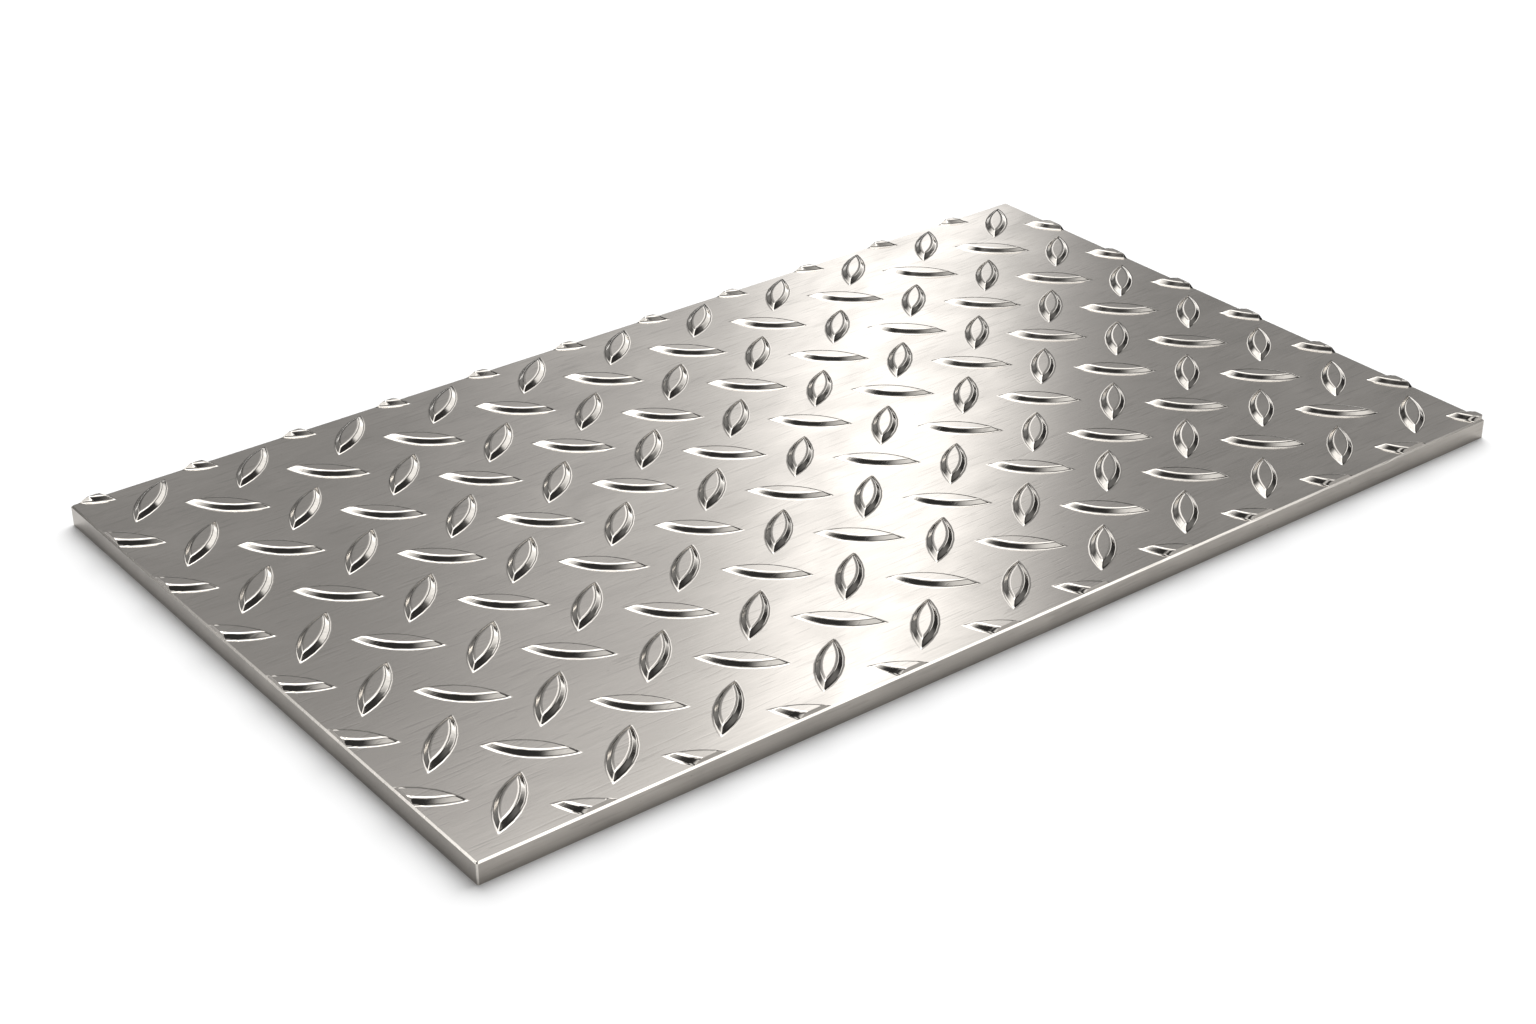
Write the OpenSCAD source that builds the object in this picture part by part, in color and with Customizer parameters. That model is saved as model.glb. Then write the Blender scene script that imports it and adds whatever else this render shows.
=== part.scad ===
// Checker steel plate: one flat rolled plate, cut to a rectangle, with pointed
// lugs raised on its top face. The lugs lie at 45 degrees in two directions
// that alternate like a chequer, and the sheared edges cut through the outer
// ones. The plate lies on its plain face, centred on the origin, length on X.

/* [Plate] */
// Length of the plate, along X
plate_length = 450; // [150:1:900]
// Width of the plate, along Y
plate_width = 270; // [90:1:540]
// Thickness of the plate between its lugs
plate_thickness = 8; // [3:0.5:16]
// Size of the bevel that breaks the top edges, the same down as inwards
edge_bevel = 0.6; // [0.2:0.1:1.5]

/* [Lug] */
// Length of a lug at its foot, from tip to tip
lug_length = 31; // [24:0.5:42]
// Width of a lug at its foot
lug_width = 9; // [7:0.25:13]
// Height of a lug above the face of the plate
lug_height = 1.6; // [0.8:0.1:3]
// How far the side of a lug leans in, from its foot to its flat top
lug_lean = 1.75; // [1:0.05:3.2]

/* [Pattern] */
// Distance between lugs of one direction, along X
pitch_along = 40.7; // [36:0.1:80]
// Distance between lugs of one direction, along Y
pitch_across = 39.3; // [36:0.1:80]
// From the left edge to the first column of rising lugs
first_column = 24; // [4:0.5:40]
// From the near edge to the first row of rising lugs
first_row = 19.5; // [4:0.5:40]

/* [Hidden] */
$fn = 96;

// How far the foot of a lug reaches down into the plate, and the cutter above it
root = 0.5;

// Both sides of a lug are arcs, which meet at its tips
side_radius = (pow(lug_length, 2) + pow(lug_width, 2)) / (4 * lug_width);
side_offset = side_radius - lug_width / 2;
lean_per_mm = lug_lean / lug_height;

// Rising lugs stand on the crossings of the pattern, falling ones between them
rising_turn = 45;
falling_turn = -45;

// Past this distance from the plate's edge no part of a lug reaches over it
reach = lug_length / 2 * sin(45);

function first_index(start, pitch) = ceil((-reach - start) / pitch);
function last_index(start, pitch, size) = floor((size + reach - start) / pitch);

// A lug this close to the near left corner would lie across it, and is left out
function clears_corner(x, y) = x + y > lug_width;

// One side of a lug: a cone whose slope is the lean of the side
module lug_side(side) {
    translate([0, side * side_offset, -root])
        cylinder(
            h = root + lug_height,
            r1 = side_radius + root * lean_per_mm,
            r2 = side_radius - lug_lean
        );
}

module lug() {
    intersection() {
        lug_side(1);
        lug_side(-1);
    }
}

// All lugs of one direction that touch the plate, from its near left corner
module lugs(turn, start_x, start_y) {
    for (i = [first_index(start_x, pitch_along) : last_index(start_x, pitch_along, plate_length)])
        for (j = [first_index(start_y, pitch_across) : last_index(start_y, pitch_across, plate_width)]) {
            x = start_x + i * pitch_along;
            y = start_y + j * pitch_across;
            if (clears_corner(x, y))
                translate([x, y, plate_thickness])
                    rotate([0, 0, turn])
                        lug();
        }
}

// The plate's section across X, with both top corners bevelled
module bevelled_outline(width) {
    polygon([
        [0, 0],
        [width, 0],
        [width, plate_thickness - edge_bevel],
        [width - edge_bevel, plate_thickness],
        [edge_bevel, plate_thickness],
        [0, plate_thickness - edge_bevel]
    ]);
}

// The plain plate: two bevelled bars crossed, which bevels all four edges
module slab() {
    intersection() {
        rotate([90, 0, 90])
            linear_extrude(plate_length)
                bevelled_outline(plate_width);
        translate([0, plate_width, 0])
            rotate([90, 0, 0])
                linear_extrude(plate_width)
                    bevelled_outline(plate_length);
    }
}

// The outer lugs end where the bevel starts, as the grinding of the edge leaves them
module lug_field() {
    translate([edge_bevel, edge_bevel, 0])
        cube([
            plate_length - 2 * edge_bevel,
            plate_width - 2 * edge_bevel,
            plate_thickness + lug_height + root
        ]);
}

module checker_plate() {
    color("darkgray")
        translate([-plate_length / 2, -plate_width / 2, 0])
            union() {
                slab();
                intersection() {
                    lug_field();
                    union() {
                        lugs(rising_turn, first_column, first_row);
                        lugs(falling_turn, first_column + pitch_along / 2, first_row + pitch_across / 2);
                    }
                }
            }
}

checker_plate();
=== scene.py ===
import bmesh
import bpy
import math
from mathutils import Matrix, Vector


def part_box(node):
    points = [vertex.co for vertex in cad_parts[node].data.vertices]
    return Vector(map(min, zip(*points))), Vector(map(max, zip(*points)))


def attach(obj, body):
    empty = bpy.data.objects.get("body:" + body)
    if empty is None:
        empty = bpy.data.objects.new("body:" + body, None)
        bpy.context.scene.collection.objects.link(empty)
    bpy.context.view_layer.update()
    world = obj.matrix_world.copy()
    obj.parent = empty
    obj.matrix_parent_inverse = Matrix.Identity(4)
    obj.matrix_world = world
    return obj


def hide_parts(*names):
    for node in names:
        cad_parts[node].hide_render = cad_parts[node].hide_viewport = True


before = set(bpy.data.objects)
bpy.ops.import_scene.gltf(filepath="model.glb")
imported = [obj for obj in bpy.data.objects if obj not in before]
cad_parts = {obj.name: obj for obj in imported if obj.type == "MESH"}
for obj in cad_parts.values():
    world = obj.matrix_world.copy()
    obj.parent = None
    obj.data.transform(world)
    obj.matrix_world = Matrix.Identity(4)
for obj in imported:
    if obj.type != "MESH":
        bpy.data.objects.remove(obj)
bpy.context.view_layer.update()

mm = 0.001

# the plate as it is rolled and cut, in millimetres
plate = {
    "edgeBevel": 0.6,
    "cornerRadius": 0.5,
    "cornerSteps": 2,
    "pitchAlong": 40.7,
    "pitchAcross": 39.3,
    "firstColumn": 24.0,
    "firstRow": 19.5,
    "risingTurn": 45,       # degrees from X
    "fallingTurn": -45,
    "cell": 16.0,           # the top is divided this finely, so that no face rings a whole lug
    "merge": 0.01,          # points closer than this become one
    "flat": 0.99995,        # a face whose normal rises this much is level, and is shaded flat
    "lugSide": 0.72,        # one that rises less than this is bevel or cut, and is shaded flat too
}

# one lug, in millimetres: its sides are arcs that meet in a point at both ends
lug = {
    "length": 31.0,
    "width": 9.0,
    "height": 1.6,
    "ridge": 0.16,          # half the width of the worn ridge that runs up each tip
    "root": 0.6,            # how far the closed lug reaches down into the plate
    # points from a side's middle to its tip: closer together at the tip, to keep the ridge narrow
    "arc": [0.0, 0.3, 0.58, 0.82, 0.965, 1.0],
    # in from the foot, and up: metal drawn up by the rolls, fillet, side, then the worn top edge
    "section": [(-0.7, -0.004), (-0.3, 0.025), (0.0, 0.085), (0.2, 0.21), (0.4, 0.366),
                (1.4, 1.28), (1.56, 1.4), (1.78, 1.493), (2.08, 1.555), (2.6, 1.6)],
}

# where the viewer stands: degrees, and millimetres from the point aimed at
camera = {
    "azimuth": -38.35,
    "elevation": 29.04,
    "distance": 951.4,
    "lens": 62.3,
    "sensorWidth": 36.0,
    "aim": (-19.2, -24.87, 8.0),
    "shift": (-0.0208, -0.0065),
    "clip": (50.0, 100000.0),
}


def addNode(tree, kind, inputs=None, **settings):
    # adds a node with its options, then fills or links its sockets, which go by name or number
    node = tree.nodes.new(kind)
    for name, value in settings.items():
        setattr(node, name, value)
    for key, value in (inputs or {}).items():
        if isinstance(value, bpy.types.Node):
            value = value.outputs[0]
        if isinstance(value, bpy.types.NodeSocket):
            tree.links.new(value, node.inputs[key])
        else:
            node.inputs[key].default_value = value
    return node


def linearColour(hexColour):
    # sRGB hex to the linear values that Blender's sockets take
    channels = [int(hexColour[i:i + 2], 16) / 255 for i in (1, 3, 5)]
    return tuple(c / 12.92 if c <= 0.04045 else ((c + 0.055) / 1.055) ** 2.4 for c in channels) + (1.0,)


def lugRing(inset, height):
    # the lug's outline at one height: two arcs, cut a little short where they would meet
    radius = (lug["length"] ** 2 + lug["width"] ** 2) / (4 * lug["width"])
    offset = radius - lug["width"] / 2
    radius -= inset
    tip = math.acos((offset + lug["ridge"]) / radius)
    shares = lug["arc"][::-1] + [-share for share in lug["arc"][1:]]
    points = []
    for side in (1, -1):
        for share in shares:
            angle = side * tip * share
            across = side * (radius * math.cos(angle) - offset)
            points.append((radius * math.sin(angle) * mm, across * mm, height * mm))
    return points


def makeLug():
    # one closed lug around the origin, long on X, with z = 0 at the plate's face
    outlines = [lugRing(lug["section"][0][0], -lug["root"])]
    outlines += [lugRing(inset, height) for inset, height in lug["section"]]
    mesh = bmesh.new()
    rings = [[mesh.verts.new(point) for point in outline] for outline in outlines]
    count = len(rings[0])
    for lower, upper in zip(rings, rings[1:]):
        for i in range(count):
            j = (i + 1) % count
            mesh.faces.new((lower[i], lower[j], upper[j], upper[i]))
    mesh.faces.new(rings[-1])
    mesh.faces.new(rings[0])
    bmesh.ops.recalc_face_normals(mesh, faces=mesh.faces)
    data = bpy.data.meshes.new("lugShape")
    mesh.to_mesh(data)
    mesh.free()
    return bpy.data.objects.new("lugShape", data)


def addStock(tree, given):
    # a block half a pitch larger than the plate and half as thick again, its top at the plate's face
    spare = addNode(tree, "ShaderNodeMath", {0: given["Pitch along"], 1: 0.5}, operation="MULTIPLY")
    size, cells = {}, {}
    for name in ("Length", "Width"):
        size[name] = addNode(tree, "ShaderNodeMath", {0: given[name], 1: spare}, operation="ADD")
        parts = addNode(tree, "ShaderNodeMath", {0: size[name], 1: given["Cell"]}, operation="DIVIDE")
        cells[name] = addNode(tree, "ShaderNodeMath", {0: parts}, operation="CEIL")
    tall = addNode(tree, "ShaderNodeMath", {0: given["Thickness"], 1: 1.5}, operation="MULTIPLY")
    extent = addNode(tree, "ShaderNodeCombineXYZ", {0: size["Length"], 1: size["Width"], 2: tall})
    block = addNode(tree, "GeometryNodeMeshCube",
                    {"Size": extent, "Vertices X": cells["Length"], "Vertices Y": cells["Width"]})
    lift = addNode(tree, "ShaderNodeMath", {0: tall, 1: -0.5, 2: given["Thickness"]},
                   operation="MULTIPLY_ADD")
    raised = addNode(tree, "ShaderNodeCombineXYZ", {2: lift})
    return addNode(tree, "GeometryNodeSetPosition", {"Geometry": block, "Offset": raised})


def addCut(tree, given, place):
    # the space the plate keeps: straight walls, in over the bevel, then straight up past the lugs
    inwards = []
    for axis in (0, 1):
        side = addNode(tree, "ShaderNodeMath", {0: place.outputs[axis]}, operation="SIGN")
        inwards.append(addNode(tree, "ShaderNodeMath", {0: side, 1: -1.0}, operation="MULTIPLY"))
    outline = addNode(tree, "GeometryNodeCurvePrimitiveQuadrilateral",
                      {"Width": given["Length"], "Height": given["Width"]})
    corners = {"Curve": outline, "Count": given["Corner steps"], "Radius": given["Corner radius"]}
    rounded = addNode(tree, "GeometryNodeFilletCurve", corners, mode="POLY")
    filled = addNode(tree, "GeometryNodeFillCurve", {"Curve": rounded}, mode="NGONS")
    wall = addNode(tree, "ShaderNodeMath", {0: given["Thickness"], 1: given["Edge bevel"]},
                   operation="SUBTRACT")
    # the bevel is cut to just past the face, and the last walls clear the lugs
    past = addNode(tree, "ShaderNodeMath", {0: given["Edge bevel"], 1: 1.02}, operation="MULTIPLY")
    clear = addNode(tree, "ShaderNodeMath", {0: given["Lug height"], 1: 2.0}, operation="MULTIPLY")
    drawn, top = filled, True
    for rise, inset in ((wall, 0.0), (past, past), (clear, 0.0)):
        risen = addNode(tree, "GeometryNodeExtrudeMesh", {
            "Mesh": drawn, "Selection": top, "Individual": False,
            "Offset": (0.0, 0.0, 1.0), "Offset Scale": rise,
        }, mode="FACES")
        along = addNode(tree, "ShaderNodeMath", {0: inwards[0], 1: inset}, operation="MULTIPLY")
        across = addNode(tree, "ShaderNodeMath", {0: inwards[1], 1: inset}, operation="MULTIPLY")
        step = addNode(tree, "ShaderNodeCombineXYZ", {0: along, 1: across})
        drawn = addNode(tree, "GeometryNodeSetPosition",
                        {"Geometry": risen, "Selection": risen.outputs["Top"], "Offset": step})
        top = risen.outputs["Top"]
    underside = addNode(tree, "GeometryNodeFlipFaces", {"Mesh": filled})
    parts = addNode(tree, "GeometryNodeJoinGeometry")
    for part in (underside, drawn):
        tree.links.new(part.outputs[0], parts.inputs[0])
    return addNode(tree, "GeometryNodeMergeByDistance", {"Geometry": parts, "Distance": 0.001 * mm})


def addLugs(tree, given, place, turn, step):
    # a lug on each point of a grid that starts two pitches outside the plate, less those that miss it
    before = 2.0
    starts, outside, grid = [], [], {}
    for axis, size, pitch, first in ((0, "Length", "Pitch along", "First column"),
                                     (1, "Width", "Pitch across", "First row")):
        fits = addNode(tree, "ShaderNodeMath", {0: given[size], 1: given[pitch]}, operation="DIVIDE")
        whole = addNode(tree, "ShaderNodeMath", {0: fits}, operation="CEIL")
        number = addNode(tree, "ShaderNodeMath", {0: whole, 1: 2 * before}, operation="ADD")
        gaps = addNode(tree, "ShaderNodeMath", {0: number, 1: 1.0}, operation="SUBTRACT")
        extent = addNode(tree, "ShaderNodeMath", {0: gaps, 1: given[pitch]}, operation="MULTIPLY")
        grid["Size " + "XY"[axis]] = extent
        grid["Vertices " + "XY"[axis]] = number
        low = addNode(tree, "ShaderNodeMath", {0: given[size], 1: -0.5, 2: given[first]},
                      operation="MULTIPLY_ADD")
        start = addNode(tree, "ShaderNodeMath", {0: given[pitch], 1: step - before, 2: low},
                        operation="MULTIPLY_ADD")
        starts.append(addNode(tree, "ShaderNodeMath", {0: extent, 1: 0.5, 2: start},
                              operation="MULTIPLY_ADD"))
        limit = addNode(tree, "ShaderNodeMath", {0: given[size], 1: 0.5, 2: given["Lug reach"]},
                        operation="MULTIPLY_ADD")
        off = addNode(tree, "ShaderNodeMath", {0: place.outputs[axis]}, operation="ABSOLUTE")
        outside.append(addNode(tree, "ShaderNodeMath", {0: off, 1: limit}, operation="GREATER_THAN"))
    # a lug that would lie across the near left corner is left out too
    diagonal = addNode(tree, "ShaderNodeMath", {0: place.outputs[0], 1: place.outputs[1]},
                       operation="ADD")
    both = addNode(tree, "ShaderNodeMath", {0: given["Length"], 1: given["Width"]}, operation="ADD")
    fromCorner = addNode(tree, "ShaderNodeMath", {0: both, 1: 0.5, 2: diagonal},
                         operation="MULTIPLY_ADD")
    acrossCorner = addNode(tree, "ShaderNodeMath", {0: fromCorner, 1: given["Lug width"]},
                           operation="LESS_THAN")
    beyond = addNode(tree, "ShaderNodeMath", {0: outside[0], 1: outside[1]}, operation="MAXIMUM")
    unwanted = addNode(tree, "ShaderNodeMath", {0: beyond, 1: acrossCorner}, operation="MAXIMUM")

    points = addNode(tree, "GeometryNodeMeshGrid", grid)
    shift = addNode(tree, "ShaderNodeCombineXYZ", {0: starts[0], 1: starts[1], 2: given["Thickness"]})
    placed = addNode(tree, "GeometryNodeSetPosition", {"Geometry": points, "Offset": shift})
    kept = addNode(tree, "GeometryNodeDeleteGeometry", {"Geometry": placed, "Selection": unwanted},
                   domain="POINT")
    turned = addNode(tree, "FunctionNodeEulerToRotation", {0: (0.0, 0.0, math.radians(turn))})
    shape = addNode(tree, "GeometryNodeObjectInfo", {"Object": given["Lug"]})
    lugs = addNode(tree, "GeometryNodeInstanceOnPoints",
                   {"Points": kept, "Instance": shape.outputs["Geometry"], "Rotation": turned})
    return addNode(tree, "GeometryNodeRealizeInstances", {0: lugs})


def plateTree():
    # stock with lugs rolled on it in two directions, then sheared to size
    tree = bpy.data.node_groups.new("Checker plate", "GeometryNodeTree")
    sockets = {}
    for name, kind in (
        ("Length", "Float"), ("Width", "Float"), ("Thickness", "Float"), ("Edge bevel", "Float"),
        ("Corner radius", "Float"), ("Corner steps", "Int"), ("Cell", "Float"),
        ("Lug height", "Float"), ("Lug width", "Float"), ("Lug reach", "Float"),
        ("Pitch along", "Float"), ("Pitch across", "Float"),
        ("First column", "Float"), ("First row", "Float"),
        ("Lug", "Object"), ("Steel", "Material"),
    ):
        socket = tree.interface.new_socket(name=name, in_out="INPUT", socket_type="NodeSocket" + kind)
        sockets[name] = socket.identifier
    tree.interface.new_socket(name="Mesh", in_out="OUTPUT", socket_type="NodeSocketGeometry")
    given = addNode(tree, "NodeGroupInput").outputs
    place = addNode(tree, "ShaderNodeSeparateXYZ", {0: addNode(tree, "GeometryNodeInputPosition")})

    # the falling lugs stand half a pitch on from the rising ones, both ways
    stock = addStock(tree, given)
    rising = addLugs(tree, given, place, plate["risingTurn"], 0.0)
    falling = addLugs(tree, given, place, plate["fallingTurn"], 0.5)
    rolled = addNode(tree, "GeometryNodeMeshBoolean", operation="UNION", solver="MANIFOLD")
    for part in (stock, rising, falling):
        tree.links.new(part.outputs[0], rolled.inputs["Mesh 2"])
    sheared = addNode(tree, "GeometryNodeMeshBoolean", operation="INTERSECT", solver="MANIFOLD")
    for part in (rolled, addCut(tree, given, place)):
        tree.links.new(part.outputs[0], sheared.inputs["Mesh 2"])
    merged = addNode(tree, "GeometryNodeMergeByDistance",
                     {"Geometry": sheared, "Distance": plate["merge"] * mm})

    # the flats stay flat, so that they mirror without bends; the lugs' sides are smooth
    facing = addNode(tree, "ShaderNodeSeparateXYZ", {0: addNode(tree, "GeometryNodeInputNormal")})
    upright = addNode(tree, "ShaderNodeMath", {0: facing.outputs[2]}, operation="ABSOLUTE")
    sloped = addNode(tree, "ShaderNodeMath", {0: upright, 1: plate["flat"]}, operation="LESS_THAN")
    lugSide = addNode(tree, "ShaderNodeMath", {0: upright, 1: plate["lugSide"]},
                      operation="GREATER_THAN")
    smooth = addNode(tree, "ShaderNodeMath", {0: sloped, 1: lugSide}, operation="MULTIPLY")
    shaded = addNode(tree, "GeometryNodeSetShadeSmooth",
                     {"Geometry": merged, "Shade Smooth": smooth}, domain="FACE")
    realized = addNode(tree, "GeometryNodeRealizeInstances", {0: shaded})
    finished = addNode(tree, "GeometryNodeSetMaterial",
                       {"Geometry": realized, "Material": given["Steel"]})
    addNode(tree, "NodeGroupOutput", {0: finished})
    return tree, sockets


def makePlate(material):
    low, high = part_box("checker_plate")
    tree, sockets = plateTree()
    holder = bpy.data.objects.new("plateHolder", bpy.data.meshes.new("plateHolder"))
    bpy.context.scene.collection.objects.link(holder)
    modifier = holder.modifiers.new("Checker plate", "NODES")
    modifier.node_group = tree
    shape = makeLug()
    turn = math.radians(plate["risingTurn"])
    reach = (lug["length"] / 2 - lug["section"][0][0]) * max(math.sin(turn), math.cos(turn))
    values = {
        "Length": high.x - low.x,
        "Width": high.y - low.y,
        "Thickness": high.z - low.z - lug["height"] * mm,
        "Edge bevel": plate["edgeBevel"] * mm,
        "Corner radius": plate["cornerRadius"] * mm,
        "Corner steps": plate["cornerSteps"],
        "Cell": plate["cell"] * mm,
        "Lug height": lug["height"] * mm,
        "Lug width": lug["width"] * mm,
        "Lug reach": reach * mm,
        "Pitch along": plate["pitchAlong"] * mm,
        "Pitch across": plate["pitchAcross"] * mm,
        "First column": plate["firstColumn"] * mm,
        "First row": plate["firstRow"] * mm,
        "Lug": shape,
        "Steel": material,
    }
    for name, value in values.items():
        modifier[sockets[name]] = value
    evaluated = holder.evaluated_get(bpy.context.evaluated_depsgraph_get())
    mesh = bpy.data.meshes.new_from_object(evaluated)
    piece = bpy.data.objects.new("checkerPlate", mesh)
    bpy.context.scene.collection.objects.link(piece)
    bpy.data.objects.remove(holder)
    bpy.data.objects.remove(shape)
    triangles = sum(len(polygon.vertices) - 2 for polygon in mesh.polygons)
    print("plate rolled and cut:", len(mesh.polygons), "faces,", triangles, "triangles")
    return piece


# rolled stainless steel, finely brushed along the plate: sizes are millimetres along, across and up
steel = {
    "metal": "#c9c4be",
    "wornAndHighlit": "#d6d1ca",        # the lugs' sides and worn edges, paler: partly wear, partly a painted highlight that outlines them
    "shearedEdge": "#a29d97",
    "roughness": 0.105,
    # how far a face's normal rises where the rubbed colour, partly a painted highlight, begins, and
    # where it is full
    "wornAndHighlitFrom": (0.999, 0.97),
    # a sheared face's normal rises less than the first, and lies along X or Y by more than the second
    "shearedFrom": (0.5, 0.98),
    "noiseRange": (0.3, 0.7),       # nearly all of a noise lies between these
    "peakWidth": 0.04,              # how softly a scratch or a speck begins
    # clouds left where the plate was pickled
    "cloudSize": (34.0, 20.0, 20.0),
    "cloudRoughness": 0.035,
    "cloudTone": 0.10,
    # brushing of 180 grit is 0.1 apart, which is too fine to show, so it is drawn coarser
    "grainSize": (14.0, 0.8, 0.8),
    "grainDepth": 0.002,
    "grainTone": 0.04,
    "scratchSize": (15.0, 1.1, 1.1),
    "scratchShare": 0.68,
    "scratchDepth": 0.003,
    "scratchTone": 0.08,
    # scale marks left by the rolls
    "speckSize": (2.6, 1.6, 1.6),
    "speckShare": 0.74,
    "speckTone": 0.22,
    # the slight unevenness of rolled plate
    "waveSize": (70.0, 45.0, 45.0),
    "waveDepth": 0.06,
}


def brushedStainless():
    # brushed stainless: a grey mirror, a little blurred, with fine lines along it that catch the light
    material = bpy.data.materials.new("brushedStainless")
    material.use_nodes = True
    tree = material.node_tree
    tree.nodes.clear()
    place = addNode(tree, "ShaderNodeTexCoord").outputs["Object"]
    low, high = steel["noiseRange"]
    noises = {}
    for name, detail, bend in (("cloud", 4.0, 0.6), ("grain", 3.0, 0.0), ("scratch", 0.0, 0.0),
                               ("speck", 2.0, 0.0), ("wave", 0.0, 0.0)):
        scale = tuple(1 / (size * mm) for size in steel[name + "Size"])
        scaled = addNode(tree, "ShaderNodeMapping", {"Vector": place, "Scale": scale})
        noises[name] = addNode(tree, "ShaderNodeTexNoise",
                               {"Vector": scaled, "Scale": 1.0, "Detail": detail, "Distortion": bend})

    # a scratch or a speck is where its noise peaks
    peaks = {}
    for name in ("scratch", "speck"):
        start = steel[name + "Share"]
        peaks[name] = addNode(tree, "ShaderNodeMapRange", {
            0: noises[name], 1: start, 2: start + steel["peakWidth"], 3: 0.0, 4: 1.0})
    heights = None
    for noise, depth in ((noises["wave"], steel["waveDepth"]), (noises["grain"], steel["grainDepth"]),
                         (peaks["scratch"], -steel["scratchDepth"])):
        relief = {"Strength": 1.0, "Distance": depth * mm, "Height": noise}
        if heights:
            relief["Normal"] = heights
        heights = addNode(tree, "ShaderNodeBump", relief)

    facing = addNode(tree, "ShaderNodeNewGeometry").outputs["True Normal"]
    sides = addNode(tree, "ShaderNodeSeparateXYZ", {0: facing})
    upright = sides.outputs[2]
    # faces that tilt, the lugs' sides and rounded edges, get the paler colour: part wear, part painted
    # highlight
    slightly, clearly = steel["wornAndHighlitFrom"]
    tilted = addNode(tree, "ShaderNodeMapRange",
                     {0: upright, 1: slightly, 2: clearly, 3: 0.0, 4: 1.0})
    rise, squareness = steel["shearedFrom"]
    steep = addNode(tree, "ShaderNodeMath", {0: upright, 1: rise}, operation="LESS_THAN")
    squareX = addNode(tree, "ShaderNodeMath", {0: sides.outputs[0]}, operation="ABSOLUTE")
    squareY = addNode(tree, "ShaderNodeMath", {0: sides.outputs[1]}, operation="ABSOLUTE")
    square = addNode(tree, "ShaderNodeMath", {0: squareX, 1: squareY}, operation="MAXIMUM")
    wall = addNode(tree, "ShaderNodeMath", {0: square, 1: squareness}, operation="GREATER_THAN")
    cutFace = addNode(tree, "ShaderNodeMath", {0: steep, 1: wall}, operation="MULTIPLY")
    metal = addNode(tree, "ShaderNodeMix", {0: tilted, 6: linearColour(steel["metal"]),
                                            7: linearColour(steel["wornAndHighlit"])}, data_type="RGBA")
    colour = addNode(tree, "ShaderNodeMix", {0: cutFace, 6: metal.outputs[2],
                                             7: linearColour(steel["shearedEdge"])}, data_type="RGBA")
    # clouds and brushing take the colour a little up and down, scratches and specks only down
    for noise, darkest, palest, down, up in (
            (noises["cloud"], low, high, steel["cloudTone"], steel["cloudTone"]),
            (noises["grain"], low, high, steel["grainTone"], steel["grainTone"]),
            (peaks["scratch"], 1.0, 0.0, steel["scratchTone"], 0.0),
            (peaks["speck"], 1.0, 0.0, steel["speckTone"], 0.0)):
        tone = addNode(tree, "ShaderNodeMapRange",
                       {0: noise, 1: darkest, 2: palest, 3: 1.0 - down, 4: 1.0 + up})
        colour = addNode(tree, "ShaderNodeMix", {0: 1.0, 6: colour.outputs[2], 7: tone},
                         data_type="RGBA", blend_type="MULTIPLY")
    # the dark clouds are the duller ones
    dull = steel["roughness"] + steel["cloudRoughness"]
    bright = steel["roughness"] - steel["cloudRoughness"]
    blurred = addNode(tree, "ShaderNodeMapRange",
                      {0: noises["cloud"], 1: low, 2: high, 3: dull, 4: bright})
    shader = addNode(tree, "ShaderNodeBsdfPrincipled", {
        "Base Color": colour.outputs[2],
        "Metallic": 1.0,
        "Roughness": blurred,
        "Normal": heights,
    })
    addNode(tree, "ShaderNodeOutputMaterial", {"Surface": shader})
    print("brushed stainless made")
    return material


# the table, in millimetres: it reaches past the view from every side
table = {
    "size": 80000.0,
    "paint": "#f3f3f3",
    "roughness": 0.9,
}


def makeFloor():
    # matt white paint: rough enough that it shows only the plate's soft shadow
    bpy.ops.mesh.primitive_plane_add(size=table["size"] * mm)
    floor = bpy.context.object
    floor.name = "floor"
    material = bpy.data.materials.new("mattWhitePaint")
    material.use_nodes = True
    shader = material.node_tree.nodes["Principled BSDF"]
    shader.inputs["Base Color"].default_value = linearColour(table["paint"])
    shader.inputs["Roughness"].default_value = table["roughness"]
    floor.data.materials.append(material)
    print("floor laid")


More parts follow.
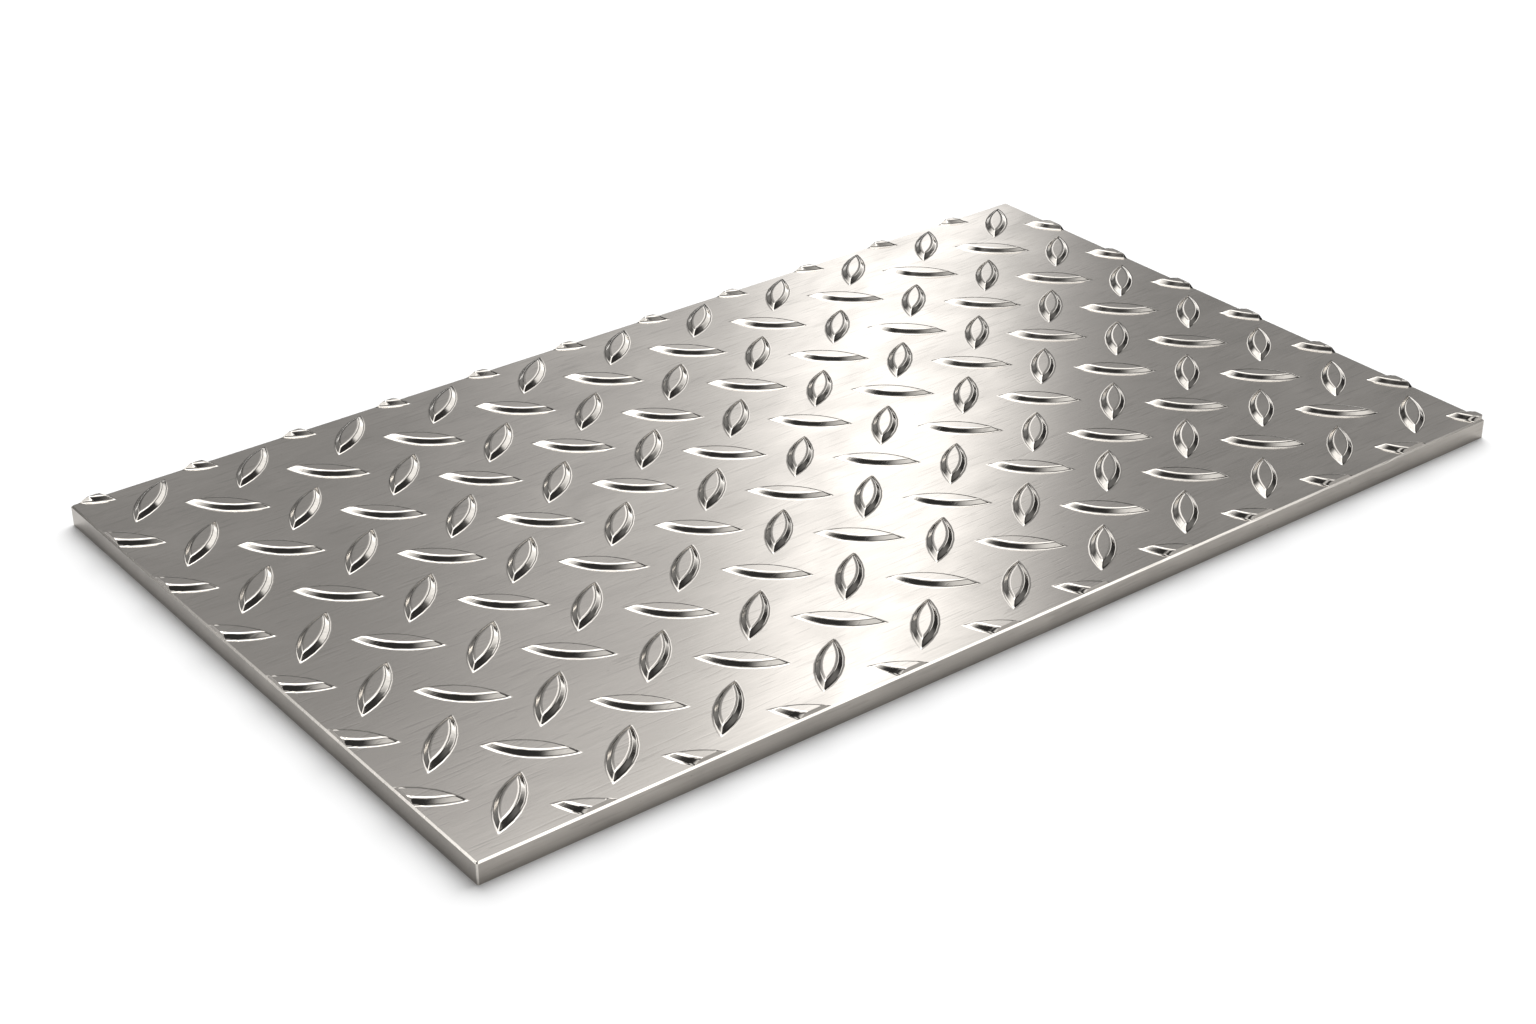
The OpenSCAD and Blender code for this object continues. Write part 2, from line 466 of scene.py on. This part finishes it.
# the studio's light, in degrees: turn is to the right of where the camera looks, half is half a
# softbox's width and height, lean is clockwise, and soft is how far its edge fades either way
studio = {
    "colour": "#ffffff",
    "ambient": 0.035,
    "backdrop": 1.0,
    "nearest": 0.01,        # a softbox is drawn only on its own side of the room
    "softboxes": [
        # the strip that shows down the middle of the plate, its glow and the panel over it
        {"turn": 1.7, "height": 35, "half": (2.4, 16), "lean": -3, "soft": 2.2, "light": 1.15},
        {"turn": -1.5, "height": 36, "half": (5, 17), "lean": -4, "soft": 4.6, "light": 0.42},
        {"turn": -9, "height": 46, "half": (9, 9), "soft": 5, "light": 0.6},
        # low panels behind the table
        {"turn": 19, "height": 1, "half": (8, 7), "soft": 3, "light": 0.6},
        {"turn": -12, "height": 0, "half": (10, 5), "soft": 3, "light": 0.7},
        # the leaning panel on the right, for the right sides of the upright lugs
        {"turn": 26.5, "height": 13, "half": (6.5, 21), "lean": 34, "soft": 3, "light": 1.25},
        # the large panel on the left, a low one under it and a narrow one past it
        {"turn": -58, "height": 44, "half": (26, 22), "soft": 5, "light": 1.5},
        {"turn": -42, "height": 5, "half": (20, 9), "soft": 5, "light": 0.2},
        {"turn": -78, "height": 54, "half": (9.5, 18), "lean": -14, "soft": 3.5, "light": 1.4},
        # overhead, ahead of the plate
        {"turn": -3, "height": 57, "half": (17, 15), "soft": 3.5, "light": 1.7},
        # the small bright lamp on the left, then two panels on the right
        {"turn": -75, "height": 33, "half": (8, 7), "soft": 2, "light": 3.0},
        {"turn": 94, "height": 43, "half": (13, 9), "soft": 4, "light": 2.0},
        {"turn": 138, "height": 60, "half": (20, 9), "soft": 6, "light": 1.0},
        # soft light over the whole plate
        {"turn": 0, "height": 37, "half": (20, 17), "soft": 6, "light": 0.35},
        # the right wall, the ceiling, and the three walls behind the camera
        {"turn": 68, "height": 17, "half": (20, 13), "soft": 5, "light": 0.16},
        {"turn": 0, "height": 89, "half": (13, 13), "soft": 3, "light": 0.5},
        {"turn": 119, "height": 16, "half": (31, 17), "soft": 5, "light": 0.5},
        {"turn": 180, "height": 16, "half": (31, 17), "soft": 5, "light": 0.75},
        {"turn": -119, "height": 16, "half": (31, 17), "soft": 5, "light": 0.5},
    ],
    # lamps that light the table and show in no reflection
    "key": {"turn": 12, "height": 44, "spread": 80, "power": 4.7},
    "fill": {"turn": 0, "height": 89, "spread": 150, "power": 0.55},
}


def towards(turn, height):
    # unit vector from the plate towards that part of the studio
    azimuth, elevation = math.radians(camera["azimuth"] - turn), math.radians(height)
    level = math.cos(elevation)
    return Vector((-math.sin(azimuth) * level, math.cos(azimuth) * level, math.sin(elevation)))


def makeWorld():
    # the room that the metal mirrors: rectangles of light with soft edges
    world = bpy.data.worlds.new("studio")
    world.use_nodes = True
    bpy.context.scene.world = world
    tree = world.node_tree
    tree.nodes.clear()
    direction = addNode(tree, "ShaderNodeTexCoord").outputs["Generated"]
    light = studio["ambient"]
    for box in studio["softboxes"]:
        centre = towards(box["turn"], box["height"])
        leaned = Matrix.Rotation(math.radians(-box.get("lean", 0)), 3, -centre)
        side = leaned @ centre.cross(Vector((0, 0, 1))).normalized()
        top = side.cross(centre)
        ahead = addNode(tree, "ShaderNodeVectorMath", {0: direction, 1: centre},
                        operation="DOT_PRODUCT").outputs[1]
        shape = addNode(tree, "ShaderNodeMath", {0: ahead, 1: studio["nearest"]},
                        operation="GREATER_THAN")
        depth = addNode(tree, "ShaderNodeMath", {0: ahead, 1: studio["nearest"]},
                        operation="MAXIMUM")
        for axis, half in zip((side, top), box["half"]):
            along = addNode(tree, "ShaderNodeVectorMath", {0: direction, 1: axis},
                            operation="DOT_PRODUCT").outputs[1]
            slope = addNode(tree, "ShaderNodeMath", {0: along, 1: depth}, operation="DIVIDE")
            reach = addNode(tree, "ShaderNodeMath", {0: slope}, operation="ABSOLUTE")
            inner = math.tan(math.radians(half - box["soft"]))
            outer = math.tan(math.radians(half + box["soft"]))
            edge = addNode(tree, "ShaderNodeMapRange", {0: reach, 1: inner, 2: outer, 3: 1.0, 4: 0.0},
                           interpolation_type="SMOOTHSTEP")
            shape = addNode(tree, "ShaderNodeMath", {0: shape, 1: edge}, operation="MULTIPLY")
        light = addNode(tree, "ShaderNodeMath", {0: shape, 1: box["light"], 2: light},
                        operation="MULTIPLY_ADD")
    # what the camera sees past the table is a plain backdrop instead
    white = linearColour(studio["colour"])
    room = addNode(tree, "ShaderNodeBackground", {"Color": white, "Strength": light})
    backdrop = addNode(tree, "ShaderNodeBackground", {"Color": white, "Strength": studio["backdrop"]})
    direct = addNode(tree, "ShaderNodeLightPath").outputs["Is Camera Ray"]
    seen = addNode(tree, "ShaderNodeMixShader", {0: direct, 1: room, 2: backdrop})
    addNode(tree, "ShaderNodeOutputWorld", {"Surface": seen})
    world.cycles_visibility.diffuse = False     # the lamps alone light the table
    print("softboxes hung:", len(studio["softboxes"]))


def makeLamps():
    for name in ("key", "fill"):
        lamp = studio[name]
        data = bpy.data.lights.new(name, "SUN")
        data.energy = lamp["power"]
        data.angle = math.radians(lamp["spread"])
        holder = bpy.data.objects.new(name, data)
        holder.rotation_mode = "QUATERNION"
        holder.rotation_quaternion = towards(lamp["turn"], lamp["height"]).to_track_quat("Z", "Y")
        holder.visible_glossy = False
        bpy.context.scene.collection.objects.link(holder)
    print("lamps set")


def makeCamera():
    azimuth, elevation = math.radians(camera["azimuth"]), math.radians(camera["elevation"])
    level = math.cos(elevation)
    back = Vector((math.sin(azimuth) * level, -math.cos(azimuth) * level, math.sin(elevation)))
    data = bpy.data.cameras.new("camera")
    data.lens = camera["lens"]
    data.sensor_width = camera["sensorWidth"]
    data.shift_x, data.shift_y = camera["shift"]
    data.clip_start, data.clip_end = (distance * mm for distance in camera["clip"])
    view = bpy.data.objects.new("camera", data)
    view.location = Vector(camera["aim"]) * mm + back * camera["distance"] * mm
    view.rotation_mode = "QUATERNION"
    view.rotation_quaternion = (-back).to_track_quat("-Z", "Y")
    bpy.context.scene.collection.objects.link(view)
    bpy.context.scene.camera = view
    print("camera placed")


bpy.context.scene.view_settings.view_transform = "Standard"
makeCamera()
makeWorld()
makeLamps()
makeFloor()
piece = makePlate(brushedStainless())
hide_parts("checker_plate")
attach(piece, "root")
